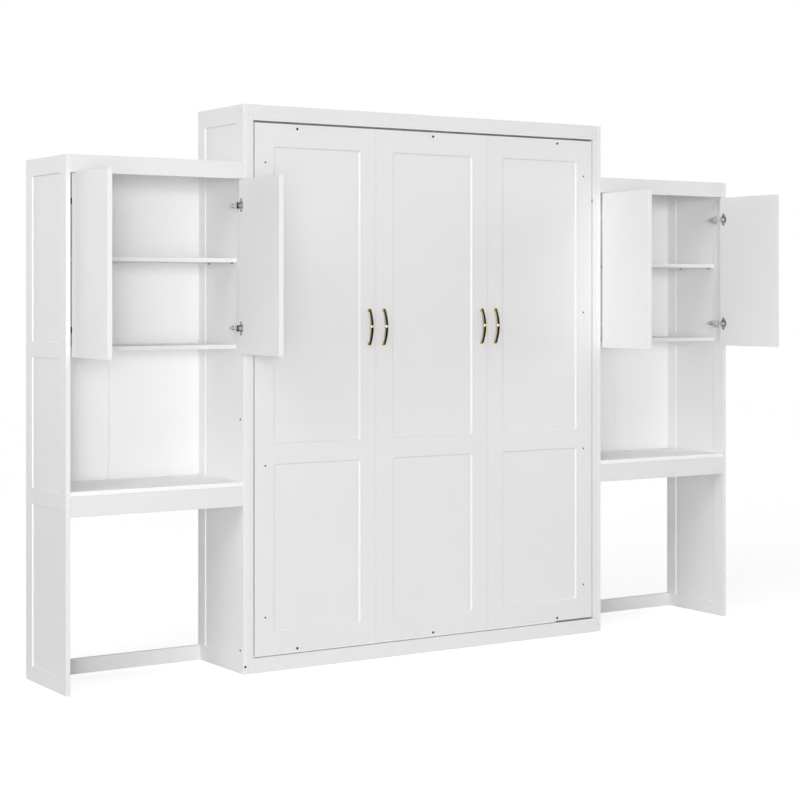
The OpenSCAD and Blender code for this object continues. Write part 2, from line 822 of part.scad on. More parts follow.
module strut_tube(side) {
    color(BLACK) on_strut(side) {
        strut_eye(0, strut_pin_d + 2 * pin_play);
        difference() {
            translate([0, 0, -tube_start - tube_l]) cylinder(h = tube_l, d = tube_d, $fn = RUN);
            translate([0, 0, -tube_start - tube_l + rod_guide])
                cylinder(h = tube_l - rod_guide - 10, d = tube_bore, $fn = RUN);
            translate([0, 0, -tube_start - tube_l - 1])
                cylinder(h = rod_guide + 2, d = strut_rod_d + 2 * pin_play, $fn = RUN);
        }
        translate([0, 0, -tube_start]) cylinder(h = tube_start - eye_d / 2 + 1, d = 8, $fn = RUN);
    }
}

// Rod with its piston inside the tube and its eye beside the bed's stud
module strut_rod(side) {
    color(STEEL) on_strut(side) {
        translate([0, 0, -strut_l]) cylinder(h = rod_l - 8, d = strut_rod_d, $fn = RUN);
        translate([0, 0, -strut_l + rod_l - 8]) cylinder(h = 8, d = tube_bore - 2 * pin_play, $fn = RUN);
        strut_eye(-strut_l, 0);
    }
}

side_panel(-1);  // side_panel_left
side_panel(1);  // side_panel_right
front_stiles();
top_panel();
fascia();
plinth();
wall_rail();
headboard_panel();
lower_back_rail();
cabinet_brackets();
pivot_bushes();
joint_caps();
joint_bolts();
unit_side_lower(-1);  // unit_side_lower_left
unit_side_lower(1);  // unit_side_lower_right
unit_side_upper(-1);  // unit_side_upper_left
unit_side_upper(1);  // unit_side_upper_right
unit_tops();
unit_head_rails();
cupboard_shelves();
cupboard_floors();
desktop(-1);  // desktop_left
desktop(1);  // desktop_right
desk_aprons();
back_sheets();
foot_rails();
shelf_pins();
hinge_arms();
leaf(-1);  // leaf_left
leaf(0);  // leaf_centre
leaf(1);  // leaf_right
bed_rail(-1);  // bed_rail_left
bed_rail(1);  // bed_rail_right
bed_foot_rail();
bed_head_rail();
slat_bearers();
slats();
handles();
front_bolts();
rail_fittings();
leg(-1);  // leg_left
leg(1);  // leg_right
leg_glide(-1);  // leg_glide_left
leg_glide(1);  // leg_glide_right
strut_tube(-1);  // strut_tube_left
strut_tube(1);  // strut_tube_right
strut_rod(-1);  // strut_rod_left
strut_rod(1);  // strut_rod_right
door(DOORS[0]);  // door_left_outer
door(DOORS[1]);  // door_left_inner
door(DOORS[2]);  // door_right_inner
door(DOORS[3]);  // door_right_outer
hinge_cups(DOORS[0]);  // hinge_cups_left_outer
hinge_cups(DOORS[1]);  // hinge_cups_left_inner
hinge_cups(DOORS[2]);  // hinge_cups_right_inner
hinge_cups(DOORS[3]);  // hinge_cups_right_outer
hinge_links(DOORS[0]);  // hinge_links_left_outer
hinge_links(DOORS[1]);  // hinge_links_left_inner
hinge_links(DOORS[2]);  // hinge_links_right_inner
hinge_links(DOORS[3]);  // hinge_links_right_outer
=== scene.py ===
"""Looks for a white wall bed in its cabinet, between two cupboard and desk units.

The boards are MDF under satin lacquer, so nearly everything here is one white, and what tells the
pieces apart is how their edges are eased and how the light falls on them.
"""

import math

import bmesh
import bpy
from mathutils import Matrix, Vector


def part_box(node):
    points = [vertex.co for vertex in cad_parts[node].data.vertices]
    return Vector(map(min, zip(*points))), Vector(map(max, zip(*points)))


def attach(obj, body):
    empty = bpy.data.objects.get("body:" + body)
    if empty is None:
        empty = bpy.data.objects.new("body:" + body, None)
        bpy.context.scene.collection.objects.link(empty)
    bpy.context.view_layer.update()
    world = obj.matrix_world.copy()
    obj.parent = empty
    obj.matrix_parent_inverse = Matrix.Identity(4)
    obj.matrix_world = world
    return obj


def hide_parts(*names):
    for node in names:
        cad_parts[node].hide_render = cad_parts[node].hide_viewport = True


bl_info = {
    "name": "Wall bed with desk units",
    "version": (1, 0, 0),
    "blender": (4, 5, 0),
    "location": "3D View > Sidebar > Wall bed",
    "description": "Finishes a wall bed, its bow handles, its cupboards and a plain studio round it",
    "category": "Object",
}

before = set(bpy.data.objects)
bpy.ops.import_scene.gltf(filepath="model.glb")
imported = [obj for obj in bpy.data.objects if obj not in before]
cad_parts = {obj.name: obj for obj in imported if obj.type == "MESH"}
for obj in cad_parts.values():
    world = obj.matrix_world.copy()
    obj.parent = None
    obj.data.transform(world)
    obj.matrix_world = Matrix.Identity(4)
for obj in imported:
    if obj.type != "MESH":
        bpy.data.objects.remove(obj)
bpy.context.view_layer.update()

RIGHT_ANGLE = math.radians(90)

BOARDS = (
    "side_panel_left", "side_panel_right", "front_stiles", "top_panel", "fascia", "plinth",
    "wall_rail", "headboard_panel", "lower_back_rail", "unit_side_lower_left",
    "unit_side_lower_right", "unit_side_upper_left", "unit_side_upper_right", "unit_tops",
    "unit_head_rails", "cupboard_shelves", "cupboard_floors", "desktop_left", "desktop_right",
    "desk_aprons", "foot_rails",
)
LEAVES = ("leaf_left", "leaf_centre", "leaf_right")
FRONTS = ("front_stiles", "fascia", "plinth", "unit_head_rails", "desk_aprons")
# Y of the row's front, and X of the cabinet's outer faces
FRONT_Y = -0.380
CABINET_X = 0.8675

# Of each door: the X of the wall it hangs on, its hand, and how far it stands open
DOORS = {
    "left_outer": (-1.5695, 1, math.radians(93.0)),
    "left_inner": (-CABINET_X, -1, math.radians(87.0)),
    "right_inner": (CABINET_X, 1, math.radians(96.0)),
    "right_outer": (1.5695, -1, math.radians(91.0)),
}
# The doors whose hinges get black blocks of painted shade in view, for the shadow at the doors'
# hinge-side corners
SHADE_BLOCKED_DOORS = ("left_outer", "left_inner")
HINGE_Z = (1.317, 1.783)
# How far in front of the boards the doors turn
AXIS_OUT = 0.004

# Width, depth and height of the hinges' black blocks and slots, which are painted shade, and the
# rounding of their edges
TIP_SHADE_BLOCK = (0.0060, 0.0044, 0.0225)
LINK_SHADE_BLOCK = (0.0052, 0.0080, 0.0225)
ARM_SLOT = (0.017, 0.0005, 0.0027)
SHADE_BLOCK_EASE = 0.0014
SLOT_ROUND = 0.0012
# Where they and the screws sit on an arm or a shut door: out from its wall, and behind the front
TIP_SHADE_BLOCK_AT = (0.0112, 0.0217)
LINK_SHADE_BLOCK_AT = (0.0048, 0.0236)
ARM_SLOT_AT = (0.016, 0.055)
ARM_SCREW_AT = (0.0158, 0.0735)
CUP_SCREW_AT = (0.0245, 0.0192)
# How far they sit over and under a hinge's middle where there are two
ARM_SLOT_RISES = (-0.0056, 0.0056)
CUP_SCREW_RISES = (-0.0225, 0.0225)

# Stops in the gaps beside the leaves: size and rounding, and how far they sit outside the leaves,
# behind the front and over the floor
FRONT_STOP = (0.0056, 0.010, 0.015)
STOP_EASE = 0.0012
STOP_AT = (0.0031, 0.0058, 1.847)

# Screws and bolts: width and height of the head, width of its socket, width and length of the shank
CUP_SCREW = (0.0050, 0.0010, 0.0024)
ARM_SCREW = (0.0048, 0.0009, 0.0024)
CORNER_BOLT = (0.009, 0.001, 0.0045)
ROW_BOLT = (0.0094, 0.002, 0.0045, 0.006, 0.048)
COLUMN_BOLT = (0.0068, 0.0014, 0.0034, 0.0046, 0.048)
# Where the bolts go through the bed's front, as X and Z
ROW_BOLTS = [(x, z) for x in (-0.632, 0.0, 0.632) for z in (0.078, 2.085)]
COLUMN_BOLTS = [(x, z) for x in (-0.7725, 0.7725) for z in (0.209, 0.7897, 1.3703, 1.951)]
# Bolts in each side of the cabinet, as Y and Z, and one in its front, as X and Z
SIDE_BOLTS = ((-0.356, 0.089), (-0.356, 0.969))
FRONT_CORNER = (-0.8585, 0.029)

# Name, degrees to the right of straight on, degrees up, spread in degrees and strength of each lamp
LAMPS = (
    ("key", -24.0, 3.0, 14.0, 1.04),
    ("left_high", -60.0, 35.0, 35.0, 0.8),
    ("left_low", -75.0, 8.0, 35.0, 0.32),
    ("overhead", -33.0, 70.0, 35.0, 0.16),
    ("right", 75.0, 12.0, 35.0, 0.85),
    ("behind", 180.0, 12.0, 35.0, 1.2),
)
LAMP_AWAY = 8.0
# The broad lamp's place beside the camera, and what it is aimed at
BROAD_AT = Vector((-4.5, -6.5, 1.4))
BROAD_AIM = Vector((0.0, -0.3, 1.15))


# ---- Sizes and colours a user would change ----

class BoardSettings(bpy.types.PropertyGroup):
    """Lacquer and edges of the boards."""
    # The whites differ as painted light on one lacquer: the fronts, which face the lamps, are painted
    # darker than the carcasses, and the back sheets and desktops, which get less light, lighter
    front: bpy.props.StringProperty(
        name="Fronts", description="sRGB colour of the leaves, fascias and aprons",
        default="#E7E7E7")
    carcass: bpy.props.StringProperty(
        name="Carcasses", description="sRGB colour of the side panels, shelves and doors",
        default="#EBEBEB")
    sheet: bpy.props.StringProperty(
        name="Back sheets", description="sRGB colour of the thin sheets", default="#F0F0F0")
    desktop: bpy.props.StringProperty(
        name="Desktops", description="sRGB colour of the desktops' laminate", default="#FAFAFA")
    sheen: bpy.props.FloatProperty(
        name="Roughness", description="Roughness of the satin lacquer", default=0.5, min=0.1,
        max=0.9)
    ease: bpy.props.FloatProperty(
        name="Eased edges", description="Width of the rounding on the boards' edges",
        default=0.0012, min=0.0004, max=0.004, unit="LENGTH")


class FittingSettings(bpy.types.PropertyGroup):
    """Handles, hinges, bolts and the metal inside."""
    # The handles are painted between these two colours: bright gold is a painted highlight, the dark
    # a painted dark reflection
    gold: bpy.props.StringProperty(
        name="Gold", description="sRGB colour of the handles where they are rubbed bright",
        default="#E2CE95")
    painted_dark_reflection: bpy.props.StringProperty(
        name="Patina", description="sRGB colour of the handles where they stay dark",
        default="#2C2510")
    nickel: bpy.props.StringProperty(
        name="Nickel", description="sRGB colour of the hinges", default="#F5F4F1")
    zinc: bpy.props.StringProperty(
        name="Zinc", description="sRGB colour of the plated steel", default="#A9ADB0")
    timber: bpy.props.StringProperty(
        name="Birch", description="sRGB colour of the bed frame", default="#DCCFB4")


class HandleSettings(bpy.types.PropertyGroup):
    """Sizes of the bow handles."""
    span: bpy.props.FloatProperty(
        name="Span", description="Distance between the two posts", default=0.133, unit="LENGTH")
    post: bpy.props.FloatProperty(
        name="Posts", description="Height of the posts", default=0.010, unit="LENGTH")
    rise: bpy.props.FloatProperty(
        name="Rise", description="Rise of the bow over the posts", default=0.017, unit="LENGTH")
    wide: bpy.props.FloatProperty(
        name="Width", description="Width of the bar beside the collar", default=0.0126,
        unit="LENGTH")
    thick: bpy.props.FloatProperty(
        name="Thickness", description="Thickness of the bar", default=0.0056, unit="LENGTH")
    height: bpy.props.FloatProperty(
        name="Height", description="Height of the handles' middle over the floor", default=1.317,
        unit="LENGTH")
    seam: bpy.props.FloatProperty(
        name="Seam", description="Distance of a seam from the middle of the bed", default=0.2725,
        unit="LENGTH")
    beside: bpy.props.FloatProperty(
        name="Beside the seam", description="Distance of a handle from its seam", default=0.034,
        unit="LENGTH")


class StudioSettings(bpy.types.PropertyGroup):
    """Floor, light and camera."""
    eye: bpy.props.FloatVectorProperty(
        name="Camera", description="Where the camera stands", default=(-4.2625, -6.7390, 1.4338),
        subtype="TRANSLATION", unit="LENGTH")
    turn: bpy.props.FloatProperty(
        name="Turn", description="How far the camera looks to the right of straight at the wall",
        default=math.radians(33.0), subtype="ANGLE", unit="ROTATION")
    lens: bpy.props.FloatProperty(
        name="Lens", description="Focal length on a 36 mm sensor", default=85.085, unit="CAMERA")
    aside: bpy.props.FloatProperty(
        name="Shift across", description="Sideways shift of the lens", default=-0.00686)
    below: bpy.props.FloatProperty(
        name="Shift down", description="Upright shift of the lens", default=-0.1281)
    world: bpy.props.FloatProperty(
        name="Room light", description="Strength of the even light", default=0.15, min=0.0,
        max=3.0)
    broad: bpy.props.FloatProperty(
        name="Broad lamp", description="Power of the broad lamp beside the camera", default=122.0,
        min=0.0, unit="POWER")
    floor: bpy.props.StringProperty(
        name="Floor", description="sRGB colour of the floor, as it lights the object",
        default="#E2E2E2")


SETTINGS = (BoardSettings, FittingSettings, HandleSettings, StudioSettings)


def boards():
    return bpy.context.scene.wallbed_boards


def fittings():
    return bpy.context.scene.wallbed_fittings


def bows():
    return bpy.context.scene.wallbed_handles


def studio():
    return bpy.context.scene.wallbed_studio


# ---- Materials ----

def linear(hex_colour):
    """sRGB hex to the linear colour that the shaders take."""
    parts = [int(hex_colour[i:i + 2], 16) / 255 for i in (1, 3, 5)]
    return tuple(c / 12.92 if c <= 0.04045 else ((c + 0.055) / 1.055) ** 2.4
                 for c in parts) + (1.0,)


def shade(hex_colour, factor):
    """The same colour, lighter or darker by a factor of its sRGB value."""
    parts = [min(255, max(0, round(int(hex_colour[i:i + 2], 16) * factor))) for i in (1, 3, 5)]
    return "#%02X%02X%02X" % tuple(parts)


def node(tree, kind, settings=None, inputs=None, stops=()):
    """Adds a node, sets its properties, fills or links its inputs, and gives a colour ramp its
    (position, hex colour) stops."""
    made = tree.nodes.new("ShaderNode" + kind)
    for key, value in (settings or {}).items():
        setattr(made, key, value)
    for key, value in (inputs or {}).items():
        if isinstance(value, bpy.types.NodeSocket):
            tree.links.new(value, made.inputs[key])
        else:
            made.inputs[key].default_value = value
    if stops:
        band = made.color_ramp.elements
        for position, colour in stops[1:-1]:
            band.new(position)
        for element, (position, colour) in zip(band, stops):
            element.position = position
            element.color = linear(colour)
    return made


def material(name):
    """An empty material, its tree, and the coordinates of the object that wears it."""
    made = bpy.data.materials.new(name)
    made.use_nodes = True
    tree = made.node_tree
    tree.nodes.clear()
    return made, tree, node(tree, "TexCoord").outputs["Object"]


def surface(tree, inputs):
    """Ends a material's tree in its shader and output."""
    shader = node(tree, "BsdfPrincipled", inputs=inputs)
    node(tree, "OutputMaterial", inputs={"Surface": shader.outputs[0]})


def satin_lacquer(name, colour, rough):
    """Sprayed satin lacquer on MDF: even white, with a faint orange peel 3 mm apart that only
    breaks up the highlights, and slow clouds of sheen where the spray lay thicker."""
    made, tree, where = material(name)
    peel = node(tree, "TexNoise", inputs={
        "Vector": where, "Scale": 330.0, "Detail": 2.0, "Roughness": 0.5})
    cloud = node(tree, "TexNoise", inputs={
        "Vector": where, "Scale": 2.3, "Detail": 3.0, "Roughness": 0.55})
    tint = node(tree, "ValToRGB", inputs={"Fac": cloud.outputs["Fac"]},
                stops=[(0.3, shade(colour, 0.992)), (0.7, colour)])
    gloss = node(tree, "MapRange", inputs={
        "Value": cloud.outputs["Fac"], "From Min": 0.3, "From Max": 0.7,
        "To Min": rough - 0.04, "To Max": rough + 0.04})
    bump = node(tree, "Bump", inputs={
        "Strength": 0.05, "Distance": 0.0004, "Height": peel.outputs["Fac"]})
    surface(tree, {"Base Color": tint.outputs["Color"], "Roughness": gloss.outputs["Result"],
                   "Normal": bump.outputs["Normal"], "IOR": 1.5, "Specular IOR Level": 0.4})
    return made


def antique_gold():
    """Gold-plated zinc casting with painted reflection: bright along the edges, the collar and the
    posts, a painted highlight, and nearly black along the broad faces, a painted dark reflection;
    with a grain of 1 mm over it."""
    made, tree, where = material("gold_plate_with_painted_reflection")
    grain = node(tree, "TexNoise", inputs={
        "Vector": where, "Scale": 900.0, "Detail": 3.0, "Roughness": 0.6})
    # How bright each point of the handle is painted, from painted dark reflection to painted
    # highlight
    painted_shine = node(tree, "Attribute", {"attribute_name": "painted_shine"})
    worn = node(tree, "MapRange", inputs={
        "Value": grain.outputs["Fac"], "From Min": 0.3, "From Max": 0.7,
        "To Min": -0.12, "To Max": 0.12})
    mixed = node(tree, "Math", {"operation": "ADD", "use_clamp": True},
                 {0: painted_shine.outputs["Fac"], 1: worn.outputs["Result"]})
    gold = fittings().gold
    tint = node(tree, "ValToRGB", inputs={"Fac": mixed.outputs["Value"]},
                stops=[(0.2, fittings().painted_dark_reflection), (0.5, shade(gold, 0.62)), (0.85, gold)])
    gloss = node(tree, "MapRange", inputs={
        "Value": mixed.outputs["Value"], "From Min": 0.2, "From Max": 0.9,
        "To Min": 0.42, "To Max": 0.2})
    bump = node(tree, "Bump", inputs={
        "Strength": 0.15, "Distance": 0.0002, "Height": grain.outputs["Fac"]})
    surface(tree, {"Base Color": tint.outputs["Color"], "Roughness": gloss.outputs["Result"],
                   "Normal": bump.outputs["Normal"], "Metallic": 1.0})
    return made


def plated_steel(name, colour, rough, grit):
    """Plated pressed steel, with slow clouds in the plating and a fine grit. The real grit is too
    fine to show, so it is drawn about 0.6 mm apart."""
    made, tree, where = material(name)
    fine = node(tree, "TexNoise", inputs={
        "Vector": where, "Scale": grit, "Detail": 3.0, "Roughness": 0.6})
    slow = node(tree, "TexNoise", inputs={
        "Vector": where, "Scale": 45.0, "Detail": 2.0, "Roughness": 0.5})
    tint = node(tree, "ValToRGB", inputs={"Fac": slow.outputs["Fac"]},
                stops=[(0.35, shade(colour, 0.9)), (0.65, colour)])
    gloss = node(tree, "MapRange", inputs={
        "Value": slow.outputs["Fac"], "From Min": 0.3, "From Max": 0.7,
        "To Min": rough - 0.06, "To Max": rough + 0.08})
    bump = node(tree, "Bump", inputs={
        "Strength": 0.12, "Distance": 0.0002, "Height": fine.outputs["Fac"]})
    surface(tree, {"Base Color": tint.outputs["Color"], "Roughness": gloss.outputs["Result"],
                   "Normal": bump.outputs["Normal"], "Metallic": 1.0})
    return made


def black_finish(name, colour, rough, metal):
    """Black oxide on steel, or moulded nylon: dark, with a matt grain, drawn 0.8 mm apart because
    the real one is too fine to show."""
    made, tree, where = material(name)
    grain = node(tree, "TexNoise", inputs={
        "Vector": where, "Scale": 1200.0, "Detail": 2.0, "Roughness": 0.6})
    tint = node(tree, "ValToRGB", inputs={"Fac": grain.outputs["Fac"]},
                stops=[(0.3, shade(colour, 0.8)), (0.7, shade(colour, 1.25))])
    bump = node(tree, "Bump", inputs={
        "Strength": 0.2, "Distance": 0.0001, "Height": grain.outputs["Fac"]})
    surface(tree, {"Base Color": tint.outputs["Color"], "Normal": bump.outputs["Normal"],
                   "Roughness": rough, "Metallic": metal})
    return made


def birch(name, along):
    """Planed birch under clear lacquer: growth lines 4 mm apart that run along the piece, pores as
    short fine streaks, and a soft change of tone from board to board."""
    made, tree, where = material(name)
    stretch = {"X": (0.035, 1.0, 1.0), "Z": (1.0, 1.0, 0.035)}[along]
    grain = node(tree, "Mapping", inputs={"Vector": where, "Scale": stretch}).outputs["Vector"]
    lines = node(tree, "TexNoise", inputs={
        "Vector": grain, "Scale": 230.0, "Detail": 4.0, "Roughness": 0.6})
    pores = node(tree, "TexNoise", inputs={
        "Vector": grain, "Scale": 1100.0, "Detail": 2.0, "Roughness": 0.5})
    slow = node(tree, "TexNoise", inputs={
        "Vector": where, "Scale": 6.0, "Detail": 1.0, "Roughness": 0.5})
    both = node(tree, "Mix", {"data_type": "FLOAT"}, {
        0: 0.35, 2: lines.outputs["Fac"], 3: slow.outputs["Fac"]})
    wood = fittings().timber
    tint = node(tree, "ValToRGB", inputs={"Fac": both.outputs[0]},
                stops=[(0.3, shade(wood, 0.89)), (0.5, wood), (0.7, shade(wood, 1.05))])
    bump = node(tree, "Bump", inputs={
        "Strength": 0.12, "Distance": 0.0003, "Height": pores.outputs["Fac"]})
    surface(tree, {"Base Color": tint.outputs["Color"], "Normal": bump.outputs["Normal"],
                   "Roughness": 0.45})
    return made


# ---- Shapes ----

def wear(obj, finish):
    """Gives an object its one material."""
    obj.data.materials.clear()
    obj.data.materials.append(finish)


def cad(name):
    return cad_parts[name]


def ease_edges(obj, width):
    """Rounds the edges of a CAD piece. Its loose triangles are first welded and joined to whole
    faces, in modifiers, so that the rounding runs clean round every hole."""
    weld = obj.modifiers.new("weld", "WELD")
    weld.merge_threshold = 0.00002
    whole = obj.modifiers.new("whole faces", "DECIMATE")
    whole.decimate_type = "DISSOLVE"
    whole.angle_limit = math.radians(0.5)
    bevel = obj.modifiers.new("ease", "BEVEL")
    bevel.width = width
    bevel.segments = 2
    bevel.limit_method = "ANGLE"
    bevel.angle_limit = math.radians(40)
    bevel.harden_normals = False
    # Keeps the broad faces flat in the light beside the rounding
    flat = obj.modifiers.new("flat", "WEIGHTED_NORMAL")
    flat.weight = 100


def finished(bm, name, finish, body, slot, *stands_for):
    """Makes an object of a bmesh, in place: smooth with hard edges, riding on its body, in its
    finish, and hides the CAD nodes that it stands for. The slot argument is not used."""
    bmesh.ops.recalc_face_normals(bm, faces=bm.faces)
    for face in bm.faces:
        face.smooth = True
    for edge in bm.edges:
        edge.smooth = edge.is_manifold and edge.calc_face_angle(0.0) < math.radians(38)
    mesh = bpy.data.meshes.new(name)
    bm.to_mesh(mesh)
    bm.free()
    obj = bpy.data.objects.new(name, mesh)
    bpy.context.scene.collection.objects.link(obj)
    wear(obj, finish)
    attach(obj, body)
    if stands_for:
        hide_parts(*stands_for)


def spot(x, y, z, turn=0.0):
    """A place for a copy, and how far it is turned there as seen from above."""
    return Matrix.Translation((x, y, z)) @ Matrix.Rotation(turn, 4, "Z")


def copies(bm, spots):
    """One shape in several places."""
    mesh = bpy.data.meshes.new("pattern")
    bm.to_mesh(mesh)
    bm.free()
    made = bmesh.new()
    for place in spots:
        before = set(made.verts)
        made.from_mesh(mesh)
        added = [v for v in made.verts if v not in before]
        bmesh.ops.transform(made, matrix=place, verts=added)
    bpy.data.meshes.remove(mesh)
    return made


def join(bm, other, painted_shine=None):
    """Adds another shape to a bmesh; the last argument says how bright its gold is painted, from a
    point on it, from painted dark reflection to painted highlight.
    """
    layer = bm.verts.layers.float.get("painted_shine") or bm.verts.layers.float.new("painted_shine")
    before = set(bm.verts)
    mesh = bpy.data.meshes.new("part")
    other.to_mesh(mesh)
    other.free()
    bm.from_mesh(mesh)
    bpy.data.meshes.remove(mesh)
    for vert in bm.verts:
        if vert not in before and painted_shine is not None:
            vert[layer] = painted_shine(vert.co)


def eased_block(size, ease):
    """Block round the origin with all its edges rounded."""
    bm = bmesh.new()
    bmesh.ops.create_cube(bm, size=1.0, matrix=Matrix.Diagonal(size + (1.0,)))
    bmesh.ops.bevel(bm, geom=list(bm.edges), offset=ease, offset_type="OFFSET", segments=3,
                    profile=0.5, affect="EDGES", material=-1)
    return bm


def long_slot(size):
    """Thin plate in the shape of a slot with round ends, its face towards -Y."""
    bm = bmesh.new()
    bmesh.ops.create_cube(bm, size=1.0, matrix=Matrix.Diagonal(size + (1.0,)))
    through = [e for e in bm.edges if abs(e.verts[0].co.y - e.verts[1].co.y) > size[1] / 2]
    bmesh.ops.bevel(bm, geom=through, offset=SLOT_ROUND, offset_type="OFFSET", segments=4,
                    profile=0.5, affect="EDGES", material=-1)
    return bm


def bar_profile(bm, wide, thick, rounding):
    """Edges of a flat bar's profile, across X and Y, with rounded corners."""
    made = bmesh.ops.create_grid(bm, x_segments=1, y_segments=1, size=0.5,
                                 matrix=Matrix.Diagonal((wide, thick, 1.0, 1.0)))
    bmesh.ops.bevel(bm, geom=made["verts"], offset=rounding, offset_type="OFFSET", segments=3,
                    profile=0.5, affect="VERTICES", material=-1)
    face = next(iter(bm.faces))
    edges = list(face.edges)
    bmesh.ops.delete(bm, geom=[face], context="FACES_ONLY")
    return edges


def bent_bar(wide, thick, radius, half, steps):
    """Bar along an arc in the YZ plane that bows towards -Y, its ends closed and eased."""
    bm = bmesh.new()
    edges = bar_profile(bm, wide, thick, thick * 0.4)
    centre = Vector((0.0, radius, 0.0))
    bmesh.ops.rotate(bm, cent=centre, matrix=Matrix.Rotation(-half, 3, "X"), verts=bm.verts)
    bmesh.ops.spin(bm, geom=edges + list(bm.verts), cent=centre, axis=(1.0, 0.0, 0.0),
                   dvec=(0.0, 0.0, 0.0), angle=2 * half, steps=steps, use_merge=False,
                   use_duplicate=False)
    rims = [e for e in bm.edges if e.is_boundary]
    bmesh.ops.holes_fill(bm, edges=rims, sides=0)
    bmesh.ops.bevel(bm, geom=rims, offset=thick * 0.12, offset_type="OFFSET", segments=2,
                    profile=0.5, affect="EDGES", material=-1)
    return bm


def turned(chain, steps):
    """Turned piece round the Y axis: its outline as (radius, distance from the base) points."""
    bm = bmesh.new()
    verts = [bm.verts.new((r, -out, 0.0)) for r, out in chain]
    edges = [bm.edges.new(pair) for pair in zip(verts, verts[1:])]
    bmesh.ops.spin(bm, geom=verts + edges, cent=(0.0, 0.0, 0.0), axis=(0.0, 1.0, 0.0),
                   dvec=(0.0, 0.0, 0.0), angle=2 * math.pi, steps=steps, use_merge=True,
                   use_duplicate=False)
    bmesh.ops.remove_doubles(bm, verts=bm.verts, dist=0.00001)
    return bm


def bow_handle():
    """One bow handle, its origin on the front between its posts."""
    s = bows()
    radius = ((s.span / 2) ** 2 + s.rise ** 2) / (2 * s.rise)
    half = math.asin(s.span / 2 / radius)
    out = Vector((0.0, -s.post - s.rise, 0.0))

    def narrow(z):
        """The bar loses a quarter of its width towards its ends."""
        return 1.0 - 0.26 * min(1.0, abs(z) / (s.span / 2))

    def bar_painted_shine(co):
        """The bar is painted bright along its two long edges, a painted highlight, and dark between
        them, a painted dark reflection.
        """
        edge = (abs(co.x) / (narrow(co.z) * s.wide / 2) - 0.66) / 0.34
        return 0.08 + 0.5 * max(0.0, min(1.0, edge))

    def post_painted_shine(co):
        """A post's foot is painted a little brighter than its stem, a painted highlight."""
        return 0.78 if co.y > -0.002 else 0.66

    whole = bmesh.new()
    bar = bent_bar(s.wide, s.thick, radius, half + math.radians(1.9), 36)
    for vert in bar.verts:
        vert.co.x *= narrow(vert.co.z)
    bmesh.ops.translate(bar, verts=bar.verts, vec=out)
    join(whole, bar, bar_painted_shine)
    # The collar is a bead of 10 mm with two grooves, swollen a little over the bar
    clasp = 0.005 / radius
    collar = bent_bar(s.wide + 0.0020, s.thick + 0.0026, radius, clasp, 12)
    for vert in collar.verts:
        along = min(1.0, abs(vert.co.z) / (radius * math.sin(clasp)))
        swell = 1.0 - 0.07 * along ** 4 - 0.035 * max(0.0, 1.0 - abs(along - 0.55) / 0.16)
        vert.co.x *= swell
        away = Vector((0.0, vert.co.y - radius, vert.co.z))
        reach = radius + (away.length - radius) * swell
        away.normalize()
        vert.co.y, vert.co.z = radius + away.y * reach, away.z * reach
    bmesh.ops.translate(collar, verts=collar.verts, vec=out + Vector((0.0, 0.0, 0.002)))
    # The collar is painted fully bright, a painted highlight
    join(whole, collar, lambda co: 1.0)
    # The posts end inside the bar: a flat foot, a waist and a wider neck
    top = s.post - 0.0002
    outline = [(0.0071, 0.0), (0.0071, 0.0010), (0.0066, 0.0017), (0.0056, 0.0021),
               (0.0050, 0.0028), (0.0047, 0.0045), (0.0048, 0.0068), (0.0053, 0.0086),
               (0.0054, top - 0.0006), (0.0049, top), (0.0, top)]
    for end in (-1, 1):
        post = turned(outline, 32)
        bmesh.ops.translate(post, verts=post.verts, vec=(0.0, 0.0, end * s.span / 2))
        join(whole, post, post_painted_shine)
    return whole


def socket_head(wide, high, socket, shank=0.0, length=0.0):
    """Bolt with a low head and a hexagon socket, its head towards -Y and its origin under it."""
    bm = bmesh.new()
    upright = Matrix.Rotation(RIGHT_ANGLE, 4, "X")
    # The socket's floor lies a third up the head, and its walls rise to the head's face
    bmesh.ops.create_circle(bm, cap_ends=True, segments=6, radius=socket / 2,
                            matrix=Matrix.Translation((0.0, -high * 0.35, 0.0)) @ upright)
    rim = list(next(iter(bm.faces)).edges)
    walls = bmesh.ops.extrude_edge_only(bm, edges=rim)["geom"]
    top = [v for v in walls if isinstance(v, bmesh.types.BMVert)]
    bmesh.ops.translate(bm, verts=top, vec=(0.0, -high * 0.65, 0.0))
    inner = [e for e in walls
             if isinstance(e, bmesh.types.BMEdge) and all(v in top for v in e.verts)]
    ring = bmesh.ops.create_circle(bm, cap_ends=False, segments=24, radius=wide / 2 - high * 0.3,
                                   matrix=Matrix.Translation((0.0, -high, 0.0)) @ upright)["verts"]
    outer = [e for e in bm.edges if all(v in ring for v in e.verts)]
    bmesh.ops.bridge_loops(bm, edges=inner + outer)
    # Round the head's edge and down its side, then along the shank, as (radius, height)
    steps = [(wide / 2 - high * 0.09, high * 0.91), (wide / 2, high * 0.65), (wide / 2, 0.0)]
    if length:
        steps += [(shank / 2, 0.0), (shank / 2, -length + 0.001), (shank / 2 - 0.001, -length)]
    for radius, out in steps:
        made = bmesh.ops.extrude_edge_only(bm, edges=outer)["geom"]
        verts = [v for v in made if isinstance(v, bmesh.types.BMVert)]
        now = math.hypot(verts[0].co.x, verts[0].co.z)
        bmesh.ops.scale(bm, verts=verts, vec=(radius / now, 1.0, radius / now))
        bmesh.ops.translate(bm, verts=verts, vec=(0.0, -out - verts[0].co.y, 0.0))
        outer = [e for e in made
                 if isinstance(e, bmesh.types.BMEdge) and all(v in verts for v in e.verts)]
    bmesh.ops.holes_fill(bm, edges=outer, sides=0)
    return bm


# ---- Places on the hinges ----

